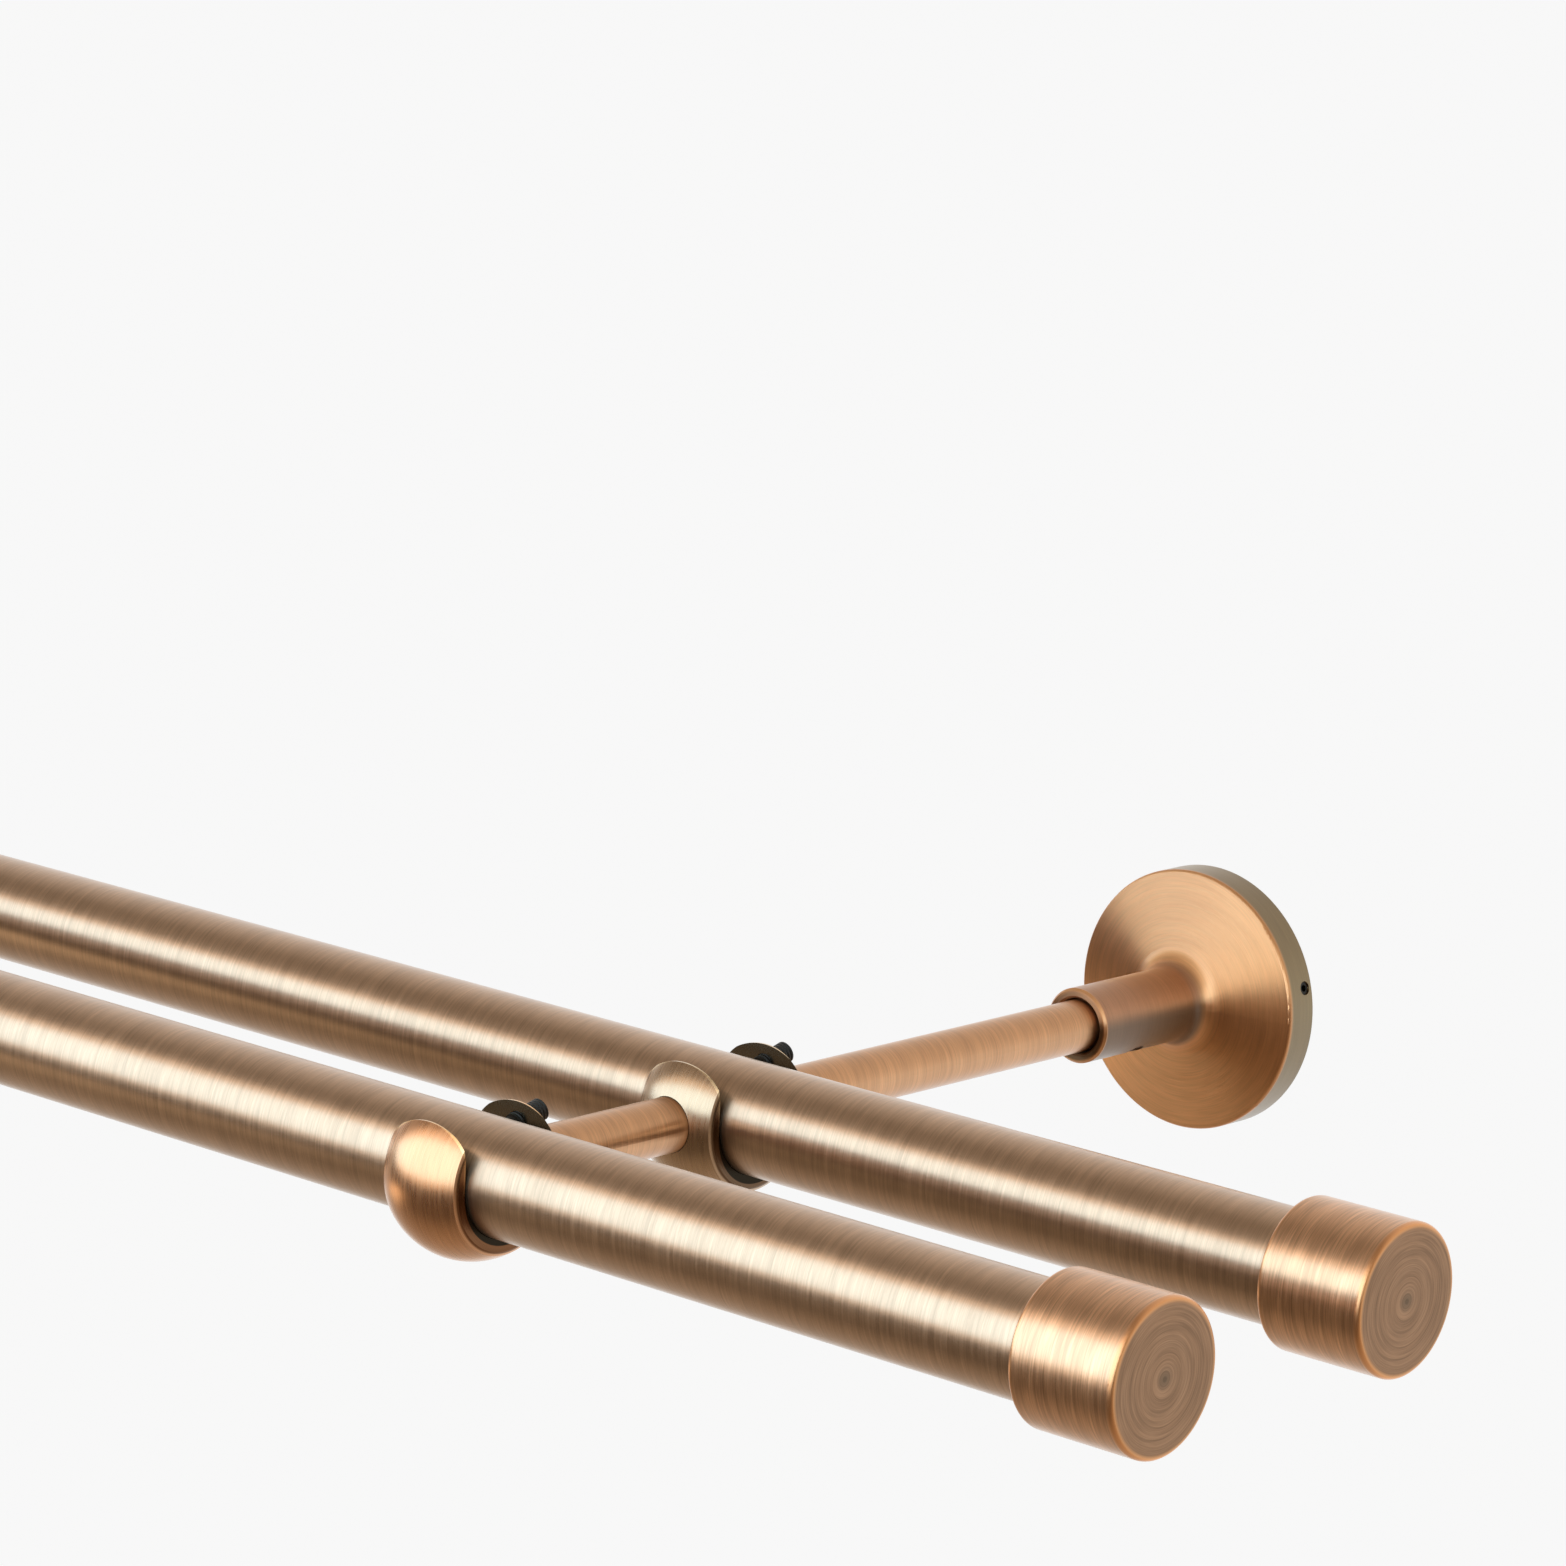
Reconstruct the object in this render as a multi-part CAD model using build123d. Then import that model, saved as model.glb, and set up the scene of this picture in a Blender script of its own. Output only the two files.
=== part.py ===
from build123d import *
import math
import os

# Double curtain pole: two parallel tubes, one in front of the other, on a pair of wall brackets.
# Millimetres. +X runs along the poles, +Y points at the wall, +Z is up. The wall is the plane
# y = 0, and the origin lies on it, midway between the brackets, at the height of their rods.

# Poles: tube, distance of the back one from the wall, spacing, and rise above the rods' line
pole_length = 1200.0
pole_radius = 10.0
pole_wall = 1.0
back_projection = 140.0
pole_spacing = 62.5
pole_rise = 0.4

# Brackets: how far each one's rod stands in from the poles' ends
bracket_inset = 145.6

# End caps, turned cups over the tubes' ends
cap_wall = 2.85
cap_length = 20.5
cap_floor = 3.0
cap_clearance = 0.15
cap_rounding = 0.9

# Wall plates, under the roses
plate_radius = 22.0
plate_thickness = 4.0
plate_chamfer = 0.5
wall_hole_radius = 2.25
wall_hole_spacing = 30.0
countersink_radius = 4.2

# Wall roses, turned shells with the rod's sleeve in one piece
plate_clearance = 0.3
rim_wall = 3.2
rim_front = 3.05
rim_rounding = 0.7
rose_cone_angle = 11.0
rose_neck_fillet = 4.5
plate_ledge = 5.0
relief_gap = 2.2
sleeve_clearance = 0.4
sleeve_wall = 1.85
sleeve_reach = 40.7
sleeve_mouth_chamfer = 0.4

# Rods and the studs on their ends
rod_radius = 5.0
stud_radius = 2.5
stud_end_gap = 0.3
socket_clearance = 0.1
rod_socket_depth = 1.9

# Pole holders: balls with two flats, slotted from the top, their horns trimmed to a flatter arch
slot_clearance = 0.3
seat_gap = 0.05
holder_wall = 4.8
holder_half_width = 8.7
holder_edge_chamfer = 0.5
horn_drop = 0.4
horn_flattening = 2.1
cut_overrun = 1.0

# Clamp screws, through the rear horn of each holder
clamp_radius = 2.0
clamp_drop = 3.65
clamp_tilt = 15.0
clamp_tip_radius = 0.7
clamp_tip_gap = 0.1
clamp_stand_out = 3.0

# Grub screws of the sleeves, rose rims and caps
rod_grub_radius = 2.0
rod_grub_reach = 27.0
rod_grub_lean = 28.0
rose_grub_radius = 1.25
rose_grub_angle = 14.5
cap_grub_radius = 2.0
grub_chamfer = 0.4
grub_gap = 0.03
grub_sink = 0.3
grub_key_depth = 1.2
thread_clearance = 0.1

# Sizes and places worked out from the values above
bracket_half_spacing = pole_length / 2 - bracket_inset
front_projection = back_projection + pole_spacing
cap_bore = pole_radius + cap_clearance
cap_radius = cap_bore + cap_wall
cap_grip = cap_length - cap_floor
recess_radius = plate_radius + plate_clearance
rose_radius = recess_radius + rim_wall
rim_depth = plate_thickness + rim_front
sleeve_bore = rod_radius + sleeve_clearance
sleeve_radius = sleeve_bore + sleeve_wall
slot_half_width = pole_radius + slot_clearance
slot_axis_rise = pole_rise - pole_radius - seat_gap + slot_half_width
ball_radius = slot_half_width + holder_wall
socket_reach = ball_radius - rod_socket_depth
ball_arch = math.sqrt(ball_radius**2 - slot_half_width**2)
horn_rise = ball_arch - horn_drop
horn_arch_radius = ball_arch + horn_flattening
clamp_height = pole_rise + pole_radius - clamp_drop


def section(points, roundings=()):
    """A closed flat profile through the points, with (corner, radius) pairs rounded."""
    face = make_face(Polyline(*points, close=True))
    for corner, radius in roundings:
        face = fillet(face.vertices().sort_by_distance(corner)[0], radius)
    return face


def along_y(radius, start, end, z=0.0):
    """A round bar parallel to Y, from one distance in front of the wall to another."""
    return Pos(0, -(start + end) / 2, z) * Rot(90, 0, 0) * Cylinder(radius, abs(end - start))


def along_x(radius, length):
    """A round bar along X, centred on the origin."""
    return Rot(0, 90, 0) * Cylinder(radius, length)


def grub_screw(radius, length, tip_chamfer=grub_chamfer):
    """A grub screw, tip down at the origin, its key socket as wide across flats as its radius."""
    body = Pos(0, 0, length / 2) * Cylinder(radius, length)
    body = chamfer(body.edges().sort_by(Axis.Z)[0], tip_chamfer)
    key = extrude(RegularPolygon(radius / 2, 6, major_radius=False), grub_key_depth)
    return body - Pos(0, 0, length - grub_key_depth) * key


def make_pole():
    """A plain round tube, centred on the origin."""
    return along_x(pole_radius, pole_length) - along_x(pole_radius - pole_wall, pole_length)


def cap_grub_place():
    """Where a cap's grub screw stands: its tip on the tube, midway along the cup's grip."""
    return Pos(-cap_grip / 2, 0, -pole_radius - grub_gap) * Rot(180, 0, 0)


def make_cap():
    """A turned cup for the right-hand end of a tube, whose end face is the plane x = 0."""
    rims = [(cap_floor, cap_radius), (-cap_grip, cap_radius)]
    profile = section(
        [
            (cap_floor, 0),
            rims[0],
            rims[1],
            (-cap_grip, cap_bore),
            (0, cap_bore),
            (0, 0),
        ],
        [(rim, cap_rounding) for rim in rims],
    )
    hole = Cylinder(cap_grub_radius + thread_clearance, cap_radius)
    return revolve(profile, Axis.X) - cap_grub_place() * hole


def make_cap_grub():
    """The grub screw that holds a cap, in the cap's place."""
    length = cap_radius - grub_sink - pole_radius - grub_gap
    return cap_grub_place() * grub_screw(cap_grub_radius, length)


def make_wall_plate():
    """A round plate with two countersunk screw holes, one above the other."""
    plate = along_y(plate_radius, 0, plate_thickness)
    plate = chamfer(plate.edges().sort_by(Axis.Y)[0], plate_chamfer)
    sink_depth = countersink_radius - wall_hole_radius
    sink = Rot(90, 0, 0) * Cone(wall_hole_radius, countersink_radius, sink_depth)
    for z in (-wall_hole_spacing / 2, wall_hole_spacing / 2):
        plate -= along_y(wall_hole_radius, 0, plate_thickness, z)
        plate -= Pos(0, -plate_thickness + sink_depth / 2, z) * sink
    return plate


def rose_grub_place(way):
    """Where a rose's grub screw stands: its tip on the wall plate's edge, on the side of way."""
    lean = Rot(0, way * (90 - rose_grub_angle), 0)
    return Pos(0, -plate_thickness / 2, 0) * lean * Pos(0, 0, plate_radius + grub_gap)


def rod_grub_place(way):
    """Where a sleeve's grub screw stands: its tip on the rod, below and a little to the side of way."""
    lean = Rot(0, way * (180 - rod_grub_lean), 0)
    return Pos(0, -rod_grub_reach, 0) * lean * Pos(0, 0, rod_radius + grub_gap)


def make_wall_rose(way):
    """The rose and sleeve: rim, shallow cone, filleted neck, sleeve, and the plate's recess."""
    cone_rise = (rose_radius - sleeve_radius) * math.tan(math.radians(rose_cone_angle))
    rim = (rose_radius, -rim_depth)
    neck = (sleeve_radius, -rim_depth - cone_rise)
    relief_radius = plate_radius - plate_ledge
    relief_depth = plate_thickness + relief_gap
    profile = section(
        [
            (recess_radius, 0),
            (rose_radius, 0),
            rim,
            neck,
            (sleeve_radius, -sleeve_reach + sleeve_mouth_chamfer),
            (sleeve_radius - sleeve_mouth_chamfer, -sleeve_reach),
            (sleeve_bore + sleeve_mouth_chamfer, -sleeve_reach),
            (sleeve_bore, -sleeve_reach + sleeve_mouth_chamfer),
            (sleeve_bore, -relief_depth),
            (relief_radius, -relief_depth),
            (relief_radius, -plate_thickness),
            (recess_radius, -plate_thickness),
        ],
        [(rim, rim_rounding), (neck, rose_neck_fillet)],
    )
    rose = revolve(profile, Axis.Y)
    rose -= rose_grub_place(way) * Cylinder(rose_grub_radius + thread_clearance, rose_radius)
    return rose - rod_grub_place(way) * Cylinder(rod_grub_radius + thread_clearance, sleeve_radius)


def make_rose_grub(way):
    """The grub screw that holds a rose on its plate, in the rose's place."""
    length = rose_radius - grub_sink - plate_radius - grub_gap
    return rose_grub_place(way) * grub_screw(rose_grub_radius, length)


def make_rod_grub(way):
    """The grub screw that holds a rod in its sleeve, in the sleeve's place."""
    length = sleeve_radius - grub_sink - rod_radius - grub_gap
    return rod_grub_place(way) * grub_screw(rod_grub_radius, length)


def make_rod(start, end, studs):
    """A rod between two distances from the wall; studs lists (distance, way) of its studded ends."""
    rod = along_y(rod_radius, start, end)
    reach = socket_reach - slot_half_width - stud_end_gap
    for place, way in studs:
        rod += along_y(stud_radius, place, place + way * reach)
    return rod


def clamp_place():
    """The clamp screw's line: it leaves the rear horn's inner face and leans up to the wall."""
    return Pos(0, slot_half_width, clamp_height) * Rot(-90 + clamp_tilt, 0, 0)


def clamp_reach(disc_radius, round_radius, round_rise):
    """How far along the clamp screw's line a disc's lower edge meets a round at that rise."""
    lean = math.radians(clamp_tilt)
    across = slot_half_width + disc_radius * math.sin(lean)
    up = clamp_height - round_rise - disc_radius * math.cos(lean)
    along = across * math.cos(lean) + up * math.sin(lean)
    return math.sqrt(along**2 - across**2 - up**2 + round_radius**2) - along


def make_clamp_screw():
    """A long grub screw with a cone tip, its axis along Z and z = 0 at the horn's inner face."""
    tip = clamp_reach(clamp_tip_radius, pole_radius + clamp_tip_gap, pole_rise)
    length = clamp_reach(0, ball_radius, 0) + clamp_stand_out - tip
    return Pos(0, 0, tip) * grub_screw(clamp_radius, length, clamp_radius - clamp_tip_radius)


def make_ball():
    """A ball centred on the origin, with a flat on each side along X and bevelled edges."""
    flat_radius = math.sqrt(ball_radius**2 - holder_half_width**2)
    corners = [(-holder_half_width, flat_radius), (holder_half_width, flat_radius)]
    crown = ThreePointArc(corners[0], (0, ball_radius), corners[1])
    sides = Polyline(corners[1], (holder_half_width, 0), (-holder_half_width, 0), corners[0])
    profile = make_face([crown, sides])
    for corner in corners:
        profile = chamfer(profile.vertices().sort_by_distance(corner)[0], holder_edge_chamfer)
    return Rot(90, 0, 0) * revolve(profile, Axis.X)


def horn_trim():
    """What lies above the arch of the two horns: a block less a round bar along Y."""
    block = Pos(0, 0, ball_radius) * Box(2 * ball_radius, 2 * ball_radius, 2 * ball_radius)
    return block - along_y(horn_arch_radius, -ball_radius, ball_radius, horn_rise - horn_arch_radius)


def make_holder(sockets):
    """An open cradle: a ball with two flats, slotted from the top, with a socket for each rod."""
    through = 2 * (holder_half_width + cut_overrun)
    slot = Pos(0, 0, ball_radius / 2) * Box(through, 2 * slot_half_width, ball_radius)
    holder = make_ball() - Pos(0, 0, slot_axis_rise) * (slot + along_x(slot_half_width, through))
    holder -= horn_trim()
    for way in sockets:
        mouth = way * (ball_radius + cut_overrun)
        holder -= along_y(rod_radius + socket_clearance, way * socket_reach, mouth)
        holder -= along_y(stud_radius + socket_clearance, way * (slot_half_width - cut_overrun), mouth)
    hole = Cylinder(clamp_radius + thread_clearance, 2 * (holder_wall + cut_overrun))
    return holder - clamp_place() * hole


def save(name, *solids):
    """Write one node: a single solid, or a group of identical separate ones."""
    shape = solids[0] if len(solids) == 1 else Compound(children=list(solids))
    shape.label = name
    export_step(shape, f"parts/{name}.step")


os.makedirs("parts", exist_ok=True)

# Poles and their end caps
cap_grubs = []
for row, projection in (("back", back_projection), ("front", front_projection)):
    line = Pos(0, -projection, pole_rise)
    save(f"{row}_pole", line * make_pole())
    for side, turn in (("left", 180), ("right", 0)):
        end = line * Rot(0, 0, turn) * Pos(pole_length / 2, 0, 0)
        save(f"{row}_{side}_cap", end * make_cap())
        cap_grubs.append(end * make_cap_grub())
save("cap_grub_screws", *cap_grubs)

# Brackets
clamp_screws = []
rod_grubs = []
rose_grubs = []
back_end = back_projection - socket_reach
front_start = back_projection + socket_reach
front_end = front_projection - socket_reach
for side, way in (("left", -1), ("right", 1)):
    bracket = Pos(way * bracket_half_spacing, 0, 0)
    back_centre = bracket * Pos(0, -back_projection, 0)
    front_centre = bracket * Pos(0, -front_projection, 0)
    front_studs = [(front_start, -1), (front_end, 1)]
    save(f"{side}_wall_plate", bracket * make_wall_plate())
    save(f"{side}_wall_rose", bracket * make_wall_rose(way))
    save(f"{side}_rear_rod", bracket * make_rod(plate_thickness, back_end, [(back_end, 1)]))
    save(f"{side}_rear_holder", back_centre * make_holder((-1, 1)))
    save(f"{side}_front_rod", bracket * make_rod(front_start, front_end, front_studs))
    save(f"{side}_front_holder", front_centre * make_holder((-1,)))
    for centre in (back_centre, front_centre):
        clamp_screws.append(centre * clamp_place() * make_clamp_screw())
    rod_grubs.append(bracket * make_rod_grub(way))
    rose_grubs.append(bracket * make_rose_grub(way))
save("clamp_screws", *clamp_screws)
save("rod_grub_screws", *rod_grubs)
save("rose_grub_screws", *rose_grubs)
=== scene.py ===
import math

import bmesh
import bpy
from bpy.props import FloatProperty, FloatVectorProperty, PointerProperty
from bpy.types import Operator, Panel, PropertyGroup
from mathutils import Matrix, Vector


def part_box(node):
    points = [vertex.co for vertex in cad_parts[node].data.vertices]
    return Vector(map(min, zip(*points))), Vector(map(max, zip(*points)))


bl_info = {
    "name": "Double curtain pole",
    "version": (1, 0, 0),
    "blender": (4, 5, 0),
    "location": "View3D > Sidebar > Curtain pole",
    "description": "Dresses a double curtain pole in brushed antique copper and lights it",
    "category": "Object",
}

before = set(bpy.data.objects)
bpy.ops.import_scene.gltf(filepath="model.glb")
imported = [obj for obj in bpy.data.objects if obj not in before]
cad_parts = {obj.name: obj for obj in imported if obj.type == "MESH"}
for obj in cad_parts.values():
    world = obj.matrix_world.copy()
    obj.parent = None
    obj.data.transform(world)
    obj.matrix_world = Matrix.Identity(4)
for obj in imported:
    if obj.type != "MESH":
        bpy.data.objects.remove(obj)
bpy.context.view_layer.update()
SIDES = ("left", "right")
ROWS = ("back", "front")

# The photo's width and height in pixels, the camera's sensor in millimetres, and how near and
# how far it sees in metres.
PHOTO_SIZE = 1566
SENSOR_WIDTH = 36.0
CLIP_NEAR = 0.01
CLIP_FAR = 100.0

# Colours of the two lamps. The cool one stands ahead of the warm one by this share of the way to
# the front pole, because two lamps in one plane hide each other from mirrored light.
WARM_LIGHT = (1.0, 0.78, 0.56)
COOL_LIGHT = (0.40, 1.0, 1.46)
COOL_LEAD = 0.02

# Colours of the room that the metal mirrors, by height angle in degrees: 0 is level in front of
# the wall, 90 is straight up, and 180 is level behind the wall.
ROOM_TONES = (
    (-180, (1.0, 0.97, 0.94)),
    (-20, (0.10, 0.073, 0.043)),
    (0, (0.24, 0.18, 0.12)),
    (55, (0.33, 0.26, 0.19)),
    (84, (0.28, 0.22, 0.16)),
    (105, (0.50, 0.42, 0.34)),
    (135, (0.76, 0.68, 0.60)),
    (180, (1.0, 0.97, 0.94)),
)

# Colours of the floor that the metal mirrors, by distance behind the wall's face in metres.
FLOOR_TONES = (
    (-2.0, (0.12, 0.075, 0.04)),
    (-0.9, (0.15, 0.105, 0.065)),
    (-0.5, (0.34, 0.25, 0.165)),
    (-0.22, (0.44, 0.34, 0.25)),
    (0.15, (0.58, 0.50, 0.42)),
    (0.5, (1.0, 0.98, 0.96)),
    (1.0, (1.0, 1.0, 1.0)),
)

# A warm glow on the mirrored floor, to the left: its colour, its middle, and the distances from
# the middle at which it starts and is full.
SIDE_GLOW = (1.8, 1.36, 0.88)
SIDE_GLOW_PLACE = (-1.32, -0.7)
SIDE_GLOW_REACH = (0.8, 0.05)

# The floor's half width, its grey under plain light, and how much of what the camera sees of it
# is the backdrop's plain colour. The rest is lit, and shows the object's shadow.
FLOOR_REACH = 20.0
FLOOR_GREY = 0.6
FLOOR_PLAIN_SHARE = 0.975

# Each ring pattern's width, as a multiple of one brush line, and the detail of its noise. Its
# length grows with a power of that width.
RING_PATTERNS = {"Lines": (1.0, 2.0), "Streaks": (2.2, 2.0), "Bands": (10.0, 3.0)}
LENGTH_POWER = 0.3

# The span of each pattern's values over which a finish changes.
LINE_SPAN = (0.25, 0.75)
STREAK_SPAN = (0.30, 0.70)
BAND_SPAN = (0.32, 0.68)

# How much of the patina's colour a dark band takes, and how far lines and streaks go below and
# above the metal's tone, all at full streak.
PATINA_SHARE = 0.7
LINE_TONES = (0.28, 0.20)
STREAK_TONES = (0.18, 0.12)

# How far the roughness goes below and above its middle, the depth of a brush line in metres, the
# quarter turn that lays the lines across the tangent, and the clear coat over the copper.
ROUGHNESS_SWING = 0.03
LINE_DEPTH = 0.000004
BRUSH_TURN = 0.25
COAT_ROUGHNESS = 0.3
COAT_IOR = 1.5

# Tints multiply the copper's colour on a piece or on a part of it.
PLAIN = (1.0, 1.0, 1.0)
CAP_TINT = (1.34, 1.17, 1.02)
# Painted shade: darkens the caps' flat end faces, standing in for the dim light they mirror.
CAP_FACE_SHADE_TINT = (0.42, 0.41, 0.39)
CAP_MIDDLE_TINT = (0.6, 0.66, 0.7)
ROSE_TINT = (1.62, 1.19, 0.76)
# Painted shade: darkens and greys the rose's rim, standing in for the dark room it mirrors.
ROSE_RIM_SHADE_TINT = (0.32, 0.46, 0.50)
SLEEVE_TINT = (0.60, 0.63, 0.80)
# Painted shade: darkens the lower half of the sleeve.
SLEEVE_UNDER_SHADE_TINT = (0.42, 0.50, 0.52)
ROD_TINT = (1.15, 0.90, 0.62)
# Painted shade: darkens the holders' flat sides, standing in for the dark room they mirror.
HOLDER_SIDE_SHADE_TINT = (0.26, 0.22, 0.19)
# Painted highlight: lightens a thin band along the horns' arched edges.
HOLDER_ARCH_HIGHLIGHT_TINT = (1.6, 1.8, 1.8)

# Each holder's place on its bracket, the row of the pole that it carries, and its tint. The tints
# are painted light: one finish, tinted warmer on the front holders and paler and greener on the
# rear ones, for how the light falls on each.
HOLDERS = (
    ("rear", "back", (0.98, 1.0, 0.96)),
    ("front", "front", (1.24, 0.96, 0.72)),
)

# Sizes that the masks need, in metres: the rose's rim from its front edge to the wall, the
# sleeve's radius, the play between pole and slot, and how far the horns' painted highlight lies
# from the slot's wall.
ROSE_RIM_DEPTH = 0.00705
SLEEVE_RADIUS = 0.00725
SLOT_CLEARANCE = 0.0003
ARCH_INSET = 0.0002

# How far worn copper shows round each edge, in metres, and the share of that reach within which
# it is full.
CAP_WEAR = 0.0013
ROSE_RIM_WEAR = 0.0011
SLEEVE_WEAR = 0.0009
WORN_CORE = 0.2

# Offsets from a mask's edge, in metres: where the mask starts and where it is full.
END_FADE = (-0.0003, -0.0001)
CAP_MIDDLE_FADE = (0.0022, 0.0004)
ROSE_RIM_FADE = (-0.0005, -0.0001)
SLEEVE_FADE = (0.0015, 0.0002)
SLEEVE_UNDER_FADE = (0.0040, 0.0)
SLOT_FADE = (0.0001, 0.00003)
ARCH_FADE = (0.0003, 0.0001)

# Depth of the wall plates' brush lines, roughness and gloss of plates and screws, and the clamp
# screws' lean and thread.
ZINC_LINE_DEPTH = 0.000005
ZINC_ROUGHNESS = (0.3, 0.45)
GRUB_ROUGHNESS = (0.25, 0.4)
GRUB_METALLIC = 0.6
CLAMP_ROUGHNESS = 0.4
CLAMP_GLOSS = 0.25
CLAMP_TILT = math.radians(15.0)
THREAD_PITCH = 0.0007


def node_box(name):
    """Centre and half size of a node's box, in metres."""
    low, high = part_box(name)
    return (low + high) / 2, (high - low) / 2


class CopperFinish(PropertyGroup):
    """Colours and brushing of the antique copper."""

    copper: FloatVectorProperty(
        name="Copper",
        description="Colour of the brushed metal between the dark streaks",
        subtype="COLOR",
        size=3,
        min=0.0,
        max=1.0,
        default=(0.60, 0.415, 0.285),
    )
    brown: FloatVectorProperty(
        name="Patina",
        description="Colour of the dark streaks",
        subtype="COLOR",
        size=3,
        min=0.0,
        max=1.0,
        default=(0.44, 0.29, 0.19),
    )
    orange: FloatVectorProperty(
        name="Worn edge",
        description="Colour of the bright copper that shows on worn edges",
        subtype="COLOR",
        size=3,
        min=0.0,
        max=1.0,
        default=(0.85, 0.42, 0.18),
    )
    olive: FloatVectorProperty(
        name="Unbrushed",
        description="Colour of the dark greenish metal that the brush never reached",
        subtype="COLOR",
        size=3,
        min=0.0,
        max=1.0,
        default=(0.085, 0.073, 0.047),
    )
    black: FloatVectorProperty(
        name="Screw",
        description="Colour of the blackened screws",
        subtype="COLOR",
        size=3,
        min=0.0,
        max=1.0,
        default=(0.012, 0.011, 0.009),
    )
    zinc: FloatVectorProperty(
        name="Wall plate",
        description="Colour of the zinc-plated wall plates",
        subtype="COLOR",
        size=3,
        min=0.0,
        max=1.0,
        default=(0.62, 0.62, 0.61),
    )
    roughness: FloatProperty(
        name="Roughness",
        description="Roughness of the brushed metal",
        min=0.05,
        max=1.0,
        default=0.34,
    )
    scratch: FloatProperty(
        name="Scratch width",
        description="Width of one brush line",
        unit="LENGTH",
        min=0.00005,
        max=0.002,
        default=0.00022,
    )
    sweep: FloatProperty(
        name="Scratch length",
        description="How far a brush line runs before it fades",
        unit="LENGTH",
        min=0.001,
        max=0.1,
        default=0.007,
    )


class Studio(PropertyGroup):
    """Floor, lights and camera."""

    floor_drop: FloatProperty(
        name="Floor drop",
        description="How far the floor lies below the poles",
        unit="LENGTH",
        min=0.1,
        max=5.0,
        default=0.7,
    )
    backdrop: FloatProperty(
        name="Backdrop",
        description="Brightness of the background behind the object",
        min=0.0,
        max=1.0,
        default=0.955,
    )
    panel_length: FloatProperty(
        name="Panel length",
        description="Length of the long soft light panel, along the poles",
        unit="LENGTH",
        min=0.1,
        max=5.0,
        default=2.4,
    )
    panel_foot: FloatVectorProperty(
        name="Panel foot",
        description="The panel's lower edge: its distance from the front pole and height angle",
        size=2,
        default=(0.60, math.radians(-10)),
    )
    panel_top: FloatVectorProperty(
        name="Panel top",
        description="The panel's upper edge: its distance from the front pole and height angle",
        size=2,
        default=(0.28, math.radians(56)),
    )
    cool_span: FloatVectorProperty(
        name="Cool span",
        description="Height angles between which the panel also glows cool",
        size=2,
        default=(math.radians(-3), math.radians(45)),
    )
    warm: FloatProperty(
        name="Warm light",
        description="Brightness of the whole panel's warm glow, as seen in a mirror",
        min=0.0,
        max=20.0,
        default=1.1,
    )
    cool: FloatProperty(
        name="Cool light",
        description="Brightness of the cool glow in the panel's middle, as seen in a mirror",
        min=0.0,
        max=20.0,
        default=1.35,
    )
    azimuth: FloatProperty(
        name="Camera azimuth",
        description="Angle round the object; 0 looks at the wall straight on",
        subtype="ANGLE",
        default=math.radians(41.459),
    )
    elevation: FloatProperty(
        name="Camera elevation",
        description="Angle above the horizon",
        subtype="ANGLE",
        default=math.radians(11.673),
    )
    roll: FloatProperty(
        name="Camera roll",
        description="Turn of the camera about its own line of sight",
        subtype="ANGLE",
        default=math.radians(2.678),
    )
    distance: FloatProperty(
        name="Camera distance",
        description="Distance to the middle of the right-hand back cap's end face",
        unit="LENGTH",
        min=0.1,
        max=20.0,
        default=0.893551,
    )
    focal: FloatProperty(
        name="Focal length",
        description="Focal length in pixels of the photo's frame",
        min=100.0,
        max=20000.0,
        default=5595.717,
    )
    aim: FloatVectorProperty(
        name="Aim",
        description="Pixel of the photo's frame at which that end face's middle appears",
        size=2,
        default=(1406.884, 1301.514),
    )


def feed(tree, value, socket):
    """Link a socket to an input, or set a number or a colour on it."""
    if isinstance(value, bpy.types.NodeSocket):
        tree.links.new(value, socket)
    elif socket.type == "RGBA":
        socket.default_value = (*value, 1.0)
    else:
        socket.default_value = value


def empty_tree(owner):
    """Give a material or a world an empty node tree."""
    owner.use_nodes = True
    owner.node_tree.nodes.clear()
    return owner.node_tree


def split_vector(tree, vector):
    """The three parts of a vector, as output sockets."""
    node = tree.nodes.new("ShaderNodeSeparateXYZ")
    tree.links.new(vector, node.inputs[0])
    return node.outputs


def math_node(tree, operation, *values):
    """A Math node fed by sockets or numbers; gives its output socket."""
    node = tree.nodes.new("ShaderNodeMath")
    node.operation = operation
    for value, socket in zip(values, node.inputs):
        feed(tree, value, socket)
    return node.outputs[0]


def diagonal(tree, first, second):
    """The square root of the sum of two numbers' squares; gives its output socket."""
    squares = [math_node(tree, "MULTIPLY", side, side) for side in (first, second)]
    return math_node(tree, "SQRT", math_node(tree, "ADD", *squares))


def mix_colour(tree, factor, first, second, blend="MIX"):
    """A colour Mix node fed by sockets, numbers or colours; gives its output socket."""
    node = tree.nodes.new("ShaderNodeMix")
    node.data_type = "RGBA"
    node.blend_type = blend
    for place, value in ((0, factor), (6, first), (7, second)):
        feed(tree, value, node.inputs[place])
    return node.outputs[2]


def map_range(tree, value, low, high, to_low=0.0, to_high=1.0):
    """A smooth Map Range node; gives its output socket."""
    node = tree.nodes.new("ShaderNodeMapRange")
    node.interpolation_type = "SMOOTHSTEP"
    tree.links.new(value, node.inputs["Value"])
    limits = {"From Min": low, "From Max": high, "To Min": to_low, "To Max": to_high}
    for name, number in limits.items():
        node.inputs[name].default_value = number
    return node.outputs["Result"]


def fade(tree, value, edge, offsets):
    """A mask that goes from 0 to 1 between two offsets from an edge."""
    return map_range(tree, value, edge + offsets[0], edge + offsets[1])


def opposite(tree, mask):
    """A mask that is 0 where the given one is 1, and 1 where it is 0."""
    return map_range(tree, mask, 0.0, 1.0, 1.0, 0.0)


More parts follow.
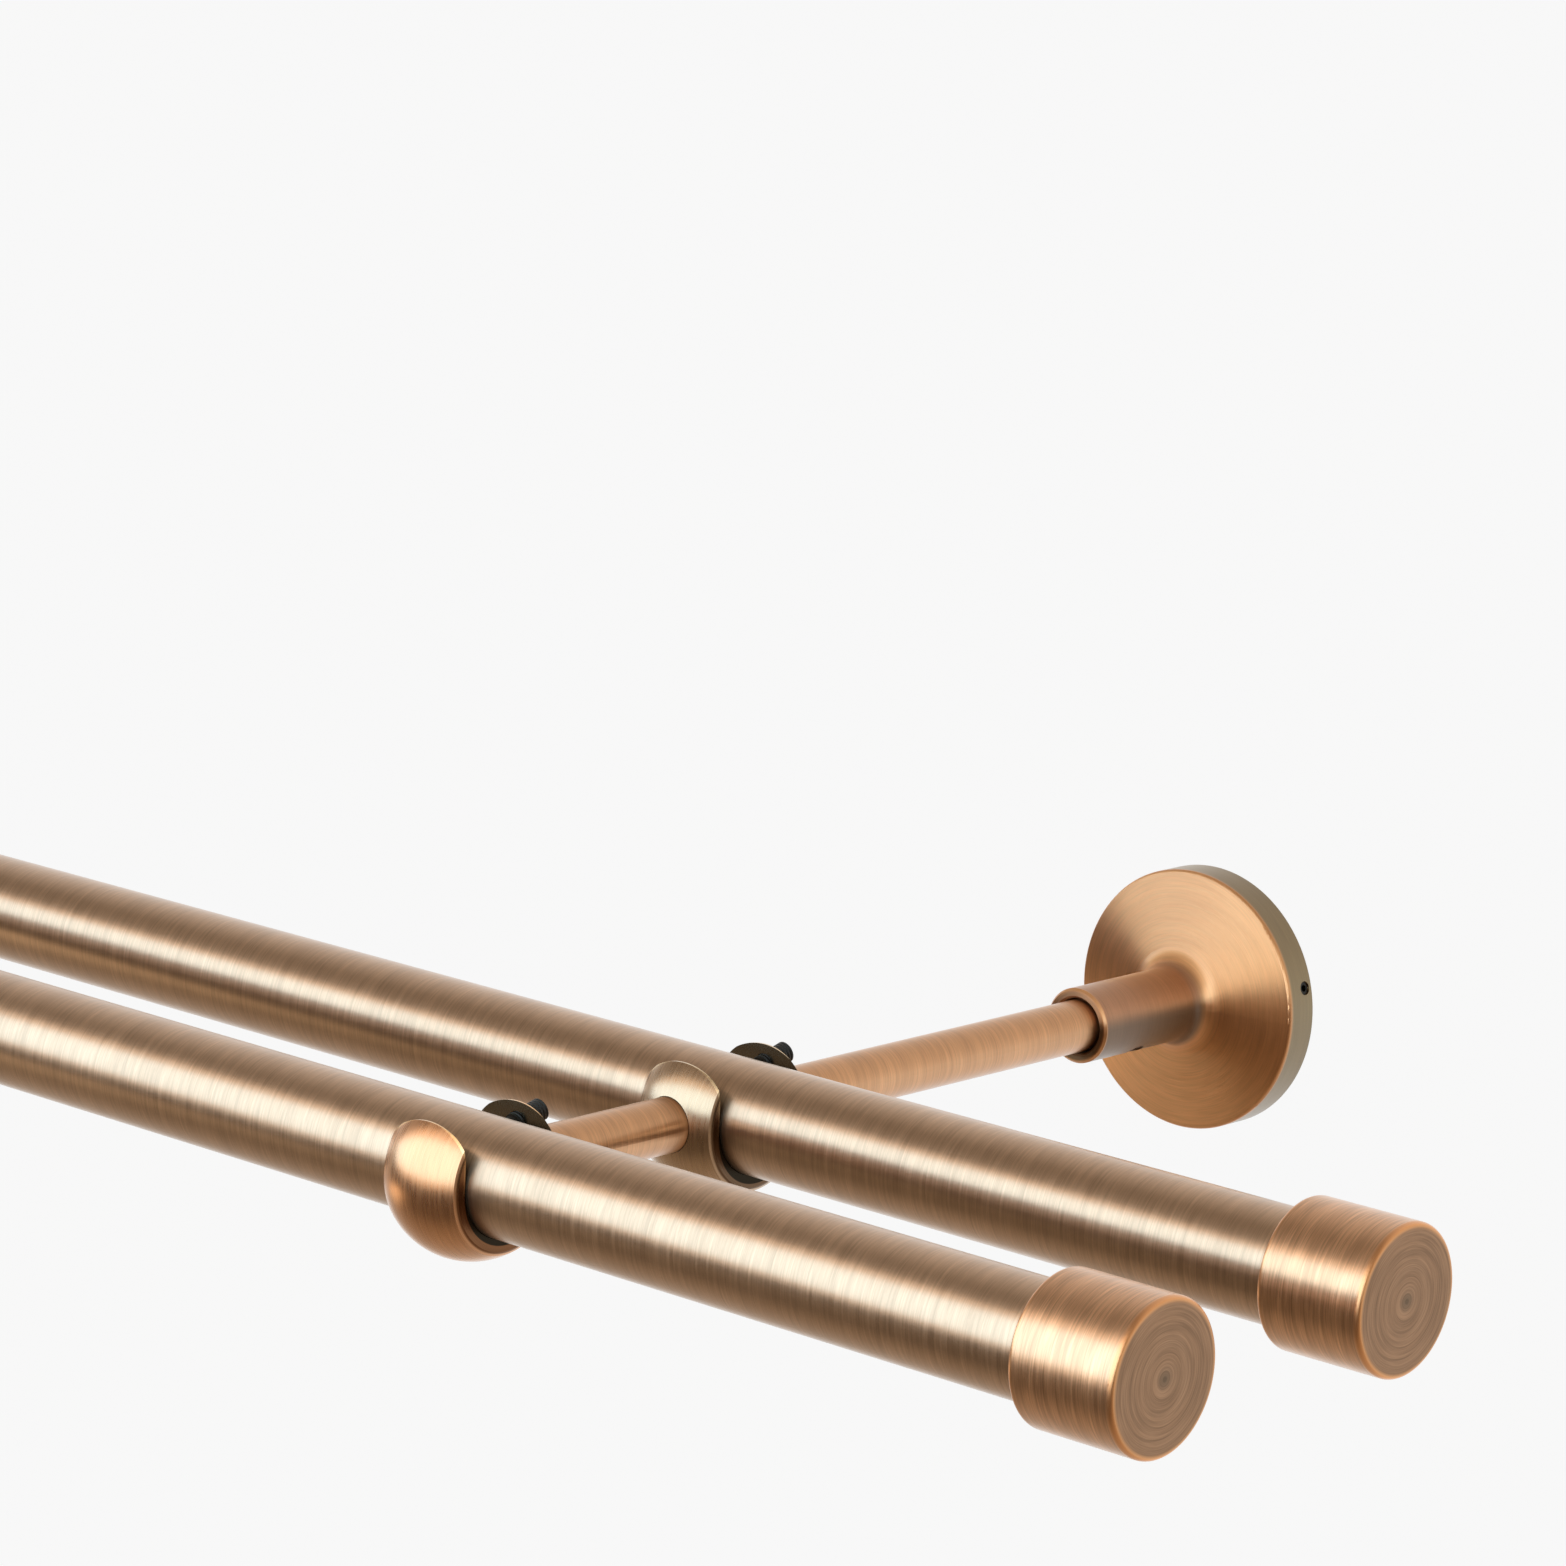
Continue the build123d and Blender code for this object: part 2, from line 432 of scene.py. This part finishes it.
def pattern_group(name, inputs, outputs):
    """A new group with a Vector and number sockets; gives it, its two ends and the vector's parts."""
    group = bpy.data.node_groups.new(name, "ShaderNodeTree")
    group.interface.new_socket(name="Vector", in_out="INPUT", socket_type="NodeSocketVector")
    for way, names in (("INPUT", inputs), ("OUTPUT", outputs)):
        for socket in names:
            group.interface.new_socket(name=socket, in_out=way, socket_type="NodeSocketFloat")
    source = group.nodes.new("NodeGroupInput")
    target = group.nodes.new("NodeGroupOutput")
    return group, source, target, split_vector(group, source.outputs["Vector"])


def brushed_rings_group():
    """Brush lines that run round the X axis of the piece's own coordinates, in three widths."""
    name = "Brushed Rings"
    if name in bpy.data.node_groups:
        return bpy.data.node_groups[name]
    group, source, target, parts = pattern_group(name, ("Width", "Length"), RING_PATTERNS)
    run, across, rise = parts
    radius = diagonal(group, across, rise)
    for output, (coarseness, detail) in RING_PATTERNS.items():
        width = math_node(group, "MULTIPLY", source.outputs["Width"], coarseness)
        length = math_node(group, "MULTIPLY", source.outputs["Length"], coarseness ** LENGTH_POWER)
        joined = group.nodes.new("ShaderNodeCombineXYZ")
        for place, (value, scale) in enumerate(((run, width), (radius, width), (across, length))):
            group.links.new(math_node(group, "DIVIDE", value, scale), joined.inputs[place])
        noise = group.nodes.new("ShaderNodeTexNoise")
        noise.noise_dimensions = "4D"
        noise.inputs["Scale"].default_value = 1.0
        noise.inputs["Detail"].default_value = detail
        group.links.new(joined.outputs[0], noise.inputs["Vector"])
        group.links.new(math_node(group, "DIVIDE", rise, length), noise.inputs["W"])
        group.links.new(noise.outputs["Fac"], target.inputs[output])
    return group


def worn_ring_group():
    """A mask that is 1 on a ring about the X axis, at one distance along and one radius."""
    name = "Worn Ring"
    if name in bpy.data.node_groups:
        return bpy.data.node_groups[name]
    group, source, target, parts = pattern_group(name, ("Along", "Radius", "Reach"), ("Mask",))
    run, across, rise = parts
    radius = diagonal(group, across, rise)
    off_along = math_node(group, "SUBTRACT", run, source.outputs["Along"])
    off_radius = math_node(group, "SUBTRACT", radius, source.outputs["Radius"])
    distance = diagonal(group, off_along, off_radius)
    share = math_node(group, "DIVIDE", distance, source.outputs["Reach"])
    group.links.new(map_range(group, share, 1.0, WORN_CORE), target.inputs["Mask"])
    return group


class Metal:
    """One metal's material, with patterns that turn about a line through the piece."""

    def __init__(self, name, centre, along="X"):
        """Start a material whose patterns turn about a line through centre, along X or Y."""
        self.along = along
        self.material = bpy.data.materials.new(name)
        self.tree = empty_tree(self.material)
        self.shader = self.tree.nodes.new("ShaderNodeBsdfPrincipled")
        output = self.tree.nodes.new("ShaderNodeOutputMaterial")
        self.tree.links.new(self.shader.outputs[0], output.inputs["Surface"])
        place = self.tree.nodes.new("ShaderNodeTexCoord")
        mapping = self.tree.nodes.new("ShaderNodeMapping")
        turn = Matrix.Rotation(0.0 if along == "X" else -math.pi / 2, 3, "Z")
        mapping.inputs["Location"].default_value = -(turn @ Vector(centre))
        mapping.inputs["Rotation"].default_value = turn.to_euler()
        self.tree.links.new(place.outputs["Object"], mapping.inputs["Vector"])
        self.vector = mapping.outputs["Vector"]
        self.run, self.across, self.rise = split_vector(self.tree, self.vector)
        self.radius = diagonal(self.tree, self.across, self.rise)

    def pattern(self, group, values):
        """Place a node group on the piece's coordinates; gives its outputs."""
        node = self.tree.nodes.new("ShaderNodeGroup")
        node.node_tree = group
        self.tree.links.new(self.vector, node.inputs["Vector"])
        for name, value in values.items():
            node.inputs[name].default_value = value
        return node.outputs

    def rings(self, finish):
        """Brush lines round the turning line: fine lines, wider streaks and broad bands."""
        values = {"Width": finish.scratch, "Length": finish.sweep}
        outputs = self.pattern(brushed_rings_group(), values)
        return [outputs[name] for name in RING_PATTERNS]

    def worn(self, along, radius, reach):
        """A mask on one ring-shaped edge."""
        values = {"Along": along, "Radius": radius, "Reach": reach}
        return self.pattern(worn_ring_group(), values)["Mask"]

    def ends(self, half):
        """A mask on the two flat ends, which lie at half the piece's length from its middle."""
        return fade(self.tree, math_node(self.tree, "ABSOLUTE", self.run), half, END_FADE)

    def bare(self, mask):
        """Leave the clear coat off where a mask is 1."""
        self.tree.links.new(opposite(self.tree, mask), self.shader.inputs["Coat Weight"])

    def complete(self, colour, roughness, height=None, bump=0.0, metallic=1.0):
        """Feed the shader; colour and roughness may be sockets, and bump is a height in metres."""
        self.shader.inputs["Metallic"].default_value = metallic
        feed(self.tree, colour, self.shader.inputs["Base Color"])
        feed(self.tree, roughness, self.shader.inputs["Roughness"])
        if height is not None:
            node = self.tree.nodes.new("ShaderNodeBump")
            node.inputs["Strength"].default_value = 1.0
            node.inputs["Distance"].default_value = bump
            self.tree.links.new(height, node.inputs["Height"])
            self.tree.links.new(node.outputs[0], self.shader.inputs["Normal"])
        return self.material


def dress(node, material):
    """Give a CAD node one material."""
    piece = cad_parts[node]
    piece.data.materials.clear()
    piece.data.materials.append(material)


def tone_range(tree, pattern, span, tones, streak):
    """A pattern as a factor that goes as far below and above 1 as its tones say."""
    return map_range(tree, pattern, *span, 1.0 - tones[0] * streak, 1.0 + tones[1] * streak)


def brushed_copper(
    copper,
    finish,
    tint=PLAIN,
    edges=(),
    regions=(),
    streak=0.5,
    spread=0.5,
    blur=0.0,
    depth=1.0,
    unbrushed=None,
):
    """Antique copper brushed round a line.

    tint multiplies the colours. edges are rings of worn bright copper. regions pair a mask with a
    colour that multiplies the metal there. streak is how strongly the patina shows, spread is how
    far the brushing draws out a reflection across its lines, blur adds to its roughness, and depth
    multiplies how deep the lines are. unbrushed is a mask where the brush never reached."""
    tree = copper.tree
    lines, streaks, bands = copper.rings(finish)
    patina = map_range(tree, bands, *BAND_SPAN, PATINA_SHARE * streak, 0.0)
    colour = mix_colour(tree, patina, finish.copper, finish.brown)
    colour = mix_colour(tree, 1.0, colour, tint, "MULTIPLY")
    grain = math_node(
        tree,
        "MULTIPLY",
        tone_range(tree, lines, LINE_SPAN, LINE_TONES, streak),
        tone_range(tree, streaks, STREAK_SPAN, STREAK_TONES, streak),
    )
    tone = tree.nodes.new("ShaderNodeCombineColor")
    for place in range(3):
        tree.links.new(grain, tone.inputs[place])
    colour = mix_colour(tree, 1.0, colour, tone.outputs[0], "MULTIPLY")
    if unbrushed is not None:
        colour = mix_colour(tree, unbrushed, colour, finish.olive)
        lines = math_node(tree, "MULTIPLY", lines, opposite(tree, unbrushed))
    for mask, shade in regions:
        shaded = mix_colour(tree, 1.0, colour, shade, "MULTIPLY")
        colour = mix_colour(tree, mask, colour, shaded)
    for ring in edges:
        colour = mix_colour(tree, copper.worn(*ring), colour, finish.orange)
    low = finish.roughness + blur - ROUGHNESS_SWING
    high = finish.roughness + blur + ROUGHNESS_SWING
    rough = map_range(tree, streaks, *STREAK_SPAN, low, high)
    copper.shader.inputs["Coat Weight"].default_value = 1.0
    copper.shader.inputs["Coat Roughness"].default_value = COAT_ROUGHNESS
    copper.shader.inputs["Coat IOR"].default_value = COAT_IOR
    turn = tree.nodes.new("ShaderNodeTangent")
    turn.direction_type = "RADIAL"
    turn.axis = copper.along
    tree.links.new(turn.outputs[0], copper.shader.inputs["Tangent"])
    copper.shader.inputs["Anisotropic"].default_value = spread
    copper.shader.inputs["Anisotropic Rotation"].default_value = BRUSH_TURN
    return copper.complete(colour, rough, lines, LINE_DEPTH * depth)


class CURTAINPOLE_OT_dress_poles(Operator):
    """Brushed antique copper on both poles"""

    bl_idname = "curtain_pole.dress_poles"
    bl_label = "Dress poles"

    def execute(self, context):
        finish = context.scene.copper_finish
        for row in ROWS:
            centre, _ = node_box(f"{row}_pole")
            copper = Metal(f"{row} pole copper", centre)
            dress(f"{row}_pole", brushed_copper(copper, finish))
        return {"FINISHED"}


class CURTAINPOLE_OT_dress_caps(Operator):
    """Turned antique copper on the end caps, with worn rims"""

    bl_idname = "curtain_pole.dress_caps"
    bl_label = "Dress caps"

    def execute(self, context):
        finish = context.scene.copper_finish
        for row in ROWS:
            for side in SIDES:
                node = f"{row}_{side}_cap"
                centre, half = node_box(node)
                copper = Metal(f"{row} {side} cap copper", centre)
                edges = [(way * half.x, half.y, CAP_WEAR) for way in (-1, 1)]
                face = copper.ends(half.x)
                middle = fade(copper.tree, copper.radius, 0.0, CAP_MIDDLE_FADE)
                # Painted shade on the flat end faces, and a darker middle on each face.
                regions = [(face, CAP_FACE_SHADE_TINT), (middle, CAP_MIDDLE_TINT)]
                dress(node, brushed_copper(copper, finish, CAP_TINT, edges, regions, streak=0.75))
                copper.bare(face)
        return {"FINISHED"}


class CURTAINPOLE_OT_dress_roses(Operator):
    """Turned antique copper on the wall roses and their sleeves"""

    bl_idname = "curtain_pole.dress_roses"
    bl_label = "Dress roses"

    def execute(self, context):
        finish = context.scene.copper_finish
        for side in SIDES:
            node = f"{side}_wall_rose"
            centre, half = node_box(node)
            copper = Metal(f"{side} rose copper", centre, "Y")
            tree = copper.tree
            edges = [
                (half.y - ROSE_RIM_DEPTH, half.x, ROSE_RIM_WEAR),
                (-half.y, SLEEVE_RADIUS, SLEEVE_WEAR),
            ]
            rim = fade(tree, copper.radius, half.x, ROSE_RIM_FADE)
            sleeve = fade(tree, copper.radius, SLEEVE_RADIUS, SLEEVE_FADE)
            # The sleeve's lower half, which gets painted shade.
            under = fade(tree, copper.rise, 0.0, SLEEVE_UNDER_FADE)
            under = math_node(tree, "MULTIPLY", under, sleeve)
            # Painted shade on the rim and on the sleeve's lower half.
            regions = [(rim, ROSE_RIM_SHADE_TINT), (sleeve, SLEEVE_TINT), (under, SLEEVE_UNDER_SHADE_TINT)]
            material = brushed_copper(
                copper, finish, ROSE_TINT, edges, regions, streak=0.3, spread=0.92, blur=0.05
            )
            dress(node, material)
        return {"FINISHED"}


class CURTAINPOLE_OT_dress_rods(Operator):
    """Antique copper on the rods"""

    bl_idname = "curtain_pole.dress_rods"
    bl_label = "Dress rods"

    def execute(self, context):
        finish = context.scene.copper_finish
        for side in SIDES:
            for place in ("rear", "front"):
                node = f"{side}_{place}_rod"
                centre, _ = node_box(node)
                copper = Metal(f"{side} {place} rod copper", centre, "Y")
                dress(node, brushed_copper(copper, finish, ROD_TINT))
        return {"FINISHED"}


def holder_masks(copper, pole_radius, half_width):
    """Masks on a holder's slot, on the arched edges of its horns, and on its flat sides.

    The slot is taken as straight above the ball's middle and round below it."""
    tree = copper.tree
    upper = math_node(tree, "GREATER_THAN", copper.rise, 0.0)
    choice = tree.nodes.new("ShaderNodeMix")
    tree.links.new(upper, choice.inputs[0])
    tree.links.new(copper.radius, choice.inputs[2])
    tree.links.new(math_node(tree, "ABSOLUTE", copper.across), choice.inputs[3])
    depth = choice.outputs[0]
    wall = pole_radius + SLOT_CLEARANCE
    slot = fade(tree, depth, wall, SLOT_FADE)
    # A thin band along the horns' arched edges, which gets a painted highlight.
    arch = math_node(tree, "ABSOLUTE", math_node(tree, "SUBTRACT", depth, wall + ARCH_INSET))
    arch = math_node(tree, "MULTIPLY", fade(tree, arch, 0.0, ARCH_FADE), upper)
    return slot, arch, copper.ends(half_width)


class CURTAINPOLE_OT_dress_holders(Operator):
    """Antique copper on the pole holders, unbrushed in their slots"""

    bl_idname = "curtain_pole.dress_holders"
    bl_label = "Dress holders"

    def execute(self, context):
        finish = context.scene.copper_finish
        for side in SIDES:
            for place, row, tint in HOLDERS:
                node = f"{side}_{place}_holder"
                centre, half = node_box(node)
                pole, pole_half = node_box(f"{row}_pole")
                ball = Vector((centre.x, pole.y, centre.z - half.z + half.y))
                copper = Metal(f"{side} {place} holder copper", ball)
                slot, arch, flank = holder_masks(copper, pole_half.y, half.x)
                material = brushed_copper(
                    copper,
                    finish,
                    tint,
                    # Painted highlight on the horns' arched edges, and painted shade on the flat
                    # sides.
                    regions=[(arch, HOLDER_ARCH_HIGHLIGHT_TINT), (flank, HOLDER_SIDE_SHADE_TINT)],
                    streak=0.35,
                    spread=0.25,
                    blur=-0.06,
                    depth=0.5,
                    unbrushed=slot,
                )
                dress(node, material)
                copper.bare(flank)
        return {"FINISHED"}


class CURTAINPOLE_OT_dress_fixings(Operator):
    """Zinc on the wall plates and black on the screws"""

    bl_idname = "curtain_pole.dress_fixings"
    bl_label = "Dress plates and screws"

    def execute(self, context):
        finish = context.scene.copper_finish
        for side in SIDES:
            centre, _ = node_box(f"{side}_wall_plate")
            plate = Metal(f"{side} plate zinc", centre, "Y")
            lines, _, bands = plate.rings(finish)
            rough = map_range(plate.tree, bands, *STREAK_SPAN, *ZINC_ROUGHNESS)
            dress(f"{side}_wall_plate", plate.complete(finish.zinc, rough, lines, ZINC_LINE_DEPTH))
        grubs = Metal("grub screw black", (0, 0, 0))
        lines, _, _ = grubs.rings(finish)
        rough = map_range(grubs.tree, lines, *STREAK_SPAN, *GRUB_ROUGHNESS)
        black = grubs.complete(finish.black, rough, metallic=GRUB_METALLIC)
        for node in ("cap_grub_screws", "rod_grub_screws", "rose_grub_screws"):
            dress(node, black)
        clamps = Metal("clamp screw black", (0, 0, 0))
        tree = clamps.tree
        back = math_node(tree, "MULTIPLY", clamps.across, math.cos(CLAMP_TILT))
        up = math_node(tree, "MULTIPLY", clamps.rise, math.sin(CLAMP_TILT))
        turns = math_node(tree, "DIVIDE", math_node(tree, "ADD", back, up), THREAD_PITCH)
        thread = math_node(tree, "PINGPONG", turns, 0.5)
        clamps.shader.inputs["Specular IOR Level"].default_value = CLAMP_GLOSS
        black = clamps.complete(finish.black, CLAMP_ROUGHNESS, thread, THREAD_PITCH, metallic=0.0)
        dress("clamp_screws", black)
        return {"FINISHED"}


def ramp_between(tree, value, stops):
    """A colour ramp over a value; stops pair the value with a colour, in rising order."""
    low, high = stops[0][0], stops[-1][0]
    share = tree.nodes.new("ShaderNodeMapRange")
    tree.links.new(value, share.inputs["Value"])
    share.inputs["From Min"].default_value = low
    share.inputs["From Max"].default_value = high
    ramp = tree.nodes.new("ShaderNodeValToRGB")
    tree.links.new(share.outputs[0], ramp.inputs[0])
    for index, (place, colour) in enumerate(stops):
        position = (place - low) / (high - low)
        if index < 2:
            stop = ramp.color_ramp.elements[index]
            stop.position = position
        else:
            stop = ramp.color_ramp.elements.new(position)
        stop.color = (*colour, 1.0)
    return ramp.outputs[0]


def plain_shader(tree, kind, colour):
    """A shader of one colour, which may be a socket; gives its output socket."""
    node = tree.nodes.new(kind)
    feed(tree, colour, node.inputs["Color"])
    return node.outputs[0]


def mix_shaders(tree, factor, first, second):
    """A Mix Shader node; gives its output socket."""
    node = tree.nodes.new("ShaderNodeMixShader")
    for place, value in enumerate((factor, first, second)):
        tree.links.new(value, node.inputs[place])
    return node.outputs[0]


def studio_world(studio):
    """A world that is the plain backdrop to the camera and a dim room with a white back to the
    metal."""
    world = bpy.data.worlds.new("Studio")
    bpy.context.scene.world = world
    tree = empty_tree(world)
    place = tree.nodes.new("ShaderNodeTexCoord")
    _, depth, height = split_vector(tree, place.outputs["Generated"])
    angle = math_node(tree, "ARCTAN2", height, math_node(tree, "MULTIPLY", depth, -1.0))
    tone = ramp_between(tree, math_node(tree, "MULTIPLY", angle, math.degrees(1.0)), ROOM_TONES)
    room = plain_shader(tree, "ShaderNodeBackground", tone)
    white = plain_shader(tree, "ShaderNodeBackground", [studio.backdrop] * 3)
    path = tree.nodes.new("ShaderNodeLightPath")
    seen = mix_shaders(tree, path.outputs["Is Camera Ray"], room, white)
    output = tree.nodes.new("ShaderNodeOutputWorld")
    tree.links.new(seen, output.inputs["Surface"])


def panel_place(middle, foot, top, lean):
    """Where a line of sight from the middle, at an angle above the level, meets the panel."""
    down = Vector((0.0, math.sin(lean), math.cos(lean)))
    share = (middle - foot).dot(down) / (top - foot).dot(down)
    return foot.lerp(top, share)


def soft_light(name, studio, foot, top, radiance, colour):
    """A long area light along X between two edges, facing back to the wall and down."""
    lamp = bpy.data.lights.new(name, "AREA")
    lamp.shape = "RECTANGLE"
    lamp.size = studio.panel_length
    lamp.size_y = (top - foot).length
    lamp.energy = radiance * math.pi * lamp.size * lamp.size_y
    lamp.color = colour
    piece = bpy.data.objects.new(name, lamp)
    piece.location = (foot + top) / 2
    facing = (top - foot).cross(Vector((1.0, 0.0, 0.0)))
    piece.rotation_euler = facing.to_track_quat("-Z", "Y").to_euler()
    piece.visible_camera = False
    bpy.context.scene.collection.objects.link(piece)


def floor_material(studio):
    """The backdrop's white to the camera, with the object's shadow on it. To the metal it is
    white behind the wall, darker and warm towards the front, and glows on the left."""
    material = bpy.data.materials.new("pale floor")
    tree = empty_tree(material)
    place = tree.nodes.new("ShaderNodeTexCoord")
    side, depth, _ = split_vector(tree, place.outputs["Object"])
    aside = math_node(tree, "SUBTRACT", side, SIDE_GLOW_PLACE[0])
    ahead = math_node(tree, "SUBTRACT", depth, SIDE_GLOW_PLACE[1])
    glow = map_range(tree, diagonal(tree, aside, ahead), *SIDE_GLOW_REACH)
    tone = mix_colour(tree, glow, ramp_between(tree, depth, FLOOR_TONES), SIDE_GLOW)
    lit = plain_shader(tree, "ShaderNodeBsdfDiffuse", [FLOOR_GREY] * 3)
    mirrored = plain_shader(tree, "ShaderNodeEmission", tone)
    white = plain_shader(tree, "ShaderNodeEmission", [studio.backdrop] * 3)
    path = tree.nodes.new("ShaderNodeLightPath")
    unseen = mix_shaders(tree, path.outputs["Is Glossy Ray"], lit, mirrored)
    share = math_node(tree, "MULTIPLY", path.outputs["Is Camera Ray"], FLOOR_PLAIN_SHARE)
    output = tree.nodes.new("ShaderNodeOutputMaterial")
    tree.links.new(mix_shaders(tree, share, unseen, white), output.inputs["Surface"])
    return material


def pale_floor(studio):
    """A wide level floor below the object."""
    mesh = bpy.data.meshes.new("floor")
    shape = bmesh.new()
    bmesh.ops.create_grid(shape, x_segments=1, y_segments=1, size=FLOOR_REACH)
    bmesh.ops.translate(shape, verts=shape.verts, vec=(0, 0, -studio.floor_drop))
    shape.to_mesh(mesh)
    shape.free()
    mesh.materials.append(floor_material(studio))
    floor = bpy.data.objects.new("floor", mesh)
    bpy.context.scene.collection.objects.link(floor)


def photo_camera(studio):
    """A camera that sees the object as the photo does."""
    back = Vector(
        (
            math.sin(studio.azimuth) * math.cos(studio.elevation),
            -math.cos(studio.azimuth) * math.cos(studio.elevation),
            math.sin(studio.elevation),
        )
    )
    ahead = -back
    level = ahead.cross(Vector((0, 0, 1))).normalized()
    upright = level.cross(ahead)
    right = math.cos(studio.roll) * level + math.sin(studio.roll) * upright
    up = -math.sin(studio.roll) * level + math.cos(studio.roll) * upright
    across = (studio.aim[0] - PHOTO_SIZE / 2) / studio.focal
    down = (studio.aim[1] - PHOTO_SIZE / 2) / studio.focal
    centre, half = node_box("back_right_cap")
    face = Vector((centre.x + half.x, centre.y, centre.z))
    lens = bpy.data.cameras.new("camera")
    lens.sensor_width = SENSOR_WIDTH
    lens.lens = SENSOR_WIDTH * studio.focal / PHOTO_SIZE
    lens.clip_start = CLIP_NEAR
    lens.clip_end = CLIP_FAR
    camera = bpy.data.objects.new("camera", lens)
    place = face - (ahead + across * right - down * up) * studio.distance
    turn = Matrix((right, up, back)).transposed().to_4x4()
    camera.matrix_world = Matrix.Translation(place) @ turn
    bpy.context.scene.collection.objects.link(camera)
    bpy.context.scene.camera = camera


class CURTAINPOLE_OT_set_stage(Operator):
    """Floor, lights, world and camera"""

    bl_idname = "curtain_pole.set_stage"
    bl_label = "Set stage"

    def execute(self, context):
        studio = context.scene.curtain_studio
        context.scene.view_settings.view_transform = "Standard"
        pale_floor(studio)
        studio_world(studio)
        middle, _ = node_box("front_pole")
        foot, top = (
            middle + reach * Vector((0.0, -math.cos(lean), math.sin(lean)))
            for reach, lean in (studio.panel_foot, studio.panel_top)
        )
        soft_light("warm light", studio, foot, top, studio.warm, WARM_LIGHT)
        low, high = (panel_place(middle, foot, top, lean) for lean in studio.cool_span)
        low, high = (place.lerp(middle, COOL_LEAD) for place in (low, high))
        soft_light("cool light", studio, low, high, studio.cool, COOL_LIGHT)
        photo_camera(studio)
        return {"FINISHED"}


class CURTAINPOLE_PT_panel(Panel):
    """Lists the steps that build the curtain pole's looks, and their settings"""

    bl_idname = "CURTAINPOLE_PT_panel"
    bl_label = "Double curtain pole"
    bl_space_type = "VIEW_3D"
    bl_region_type = "UI"
    bl_category = "Curtain pole"

    def draw(self, context):
        layout = self.layout
        for operator in OPERATORS:
            layout.operator(operator.bl_idname)
        for settings in (context.scene.copper_finish, context.scene.curtain_studio):
            for name in settings.bl_rna.properties.keys():
                if name not in ("rna_type", "name"):
                    layout.prop(settings, name)


OPERATORS = (
    CURTAINPOLE_OT_dress_poles,
    CURTAINPOLE_OT_dress_caps,
    CURTAINPOLE_OT_dress_roses,
    CURTAINPOLE_OT_dress_rods,
    CURTAINPOLE_OT_dress_holders,
    CURTAINPOLE_OT_dress_fixings,
    CURTAINPOLE_OT_set_stage,
)
CLASSES = (CopperFinish, Studio, *OPERATORS, CURTAINPOLE_PT_panel)


def register():
    """Register the classes and attach the settings to the scene."""
    for cls in CLASSES:
        bpy.utils.register_class(cls)
    bpy.types.Scene.copper_finish = PointerProperty(type=CopperFinish)
    bpy.types.Scene.curtain_studio = PointerProperty(type=Studio)


def unregister():
    """Detach the settings and unregister the classes."""
    del bpy.types.Scene.curtain_studio
    del bpy.types.Scene.copper_finish
    for cls in reversed(CLASSES):
        bpy.utils.unregister_class(cls)


def main():
    """Build everything in order."""
    register()
    for operator in OPERATORS:
        group, name = operator.bl_idname.split(".")
        getattr(getattr(bpy.ops, group), name)()


if __name__ == "__main__":
    main()
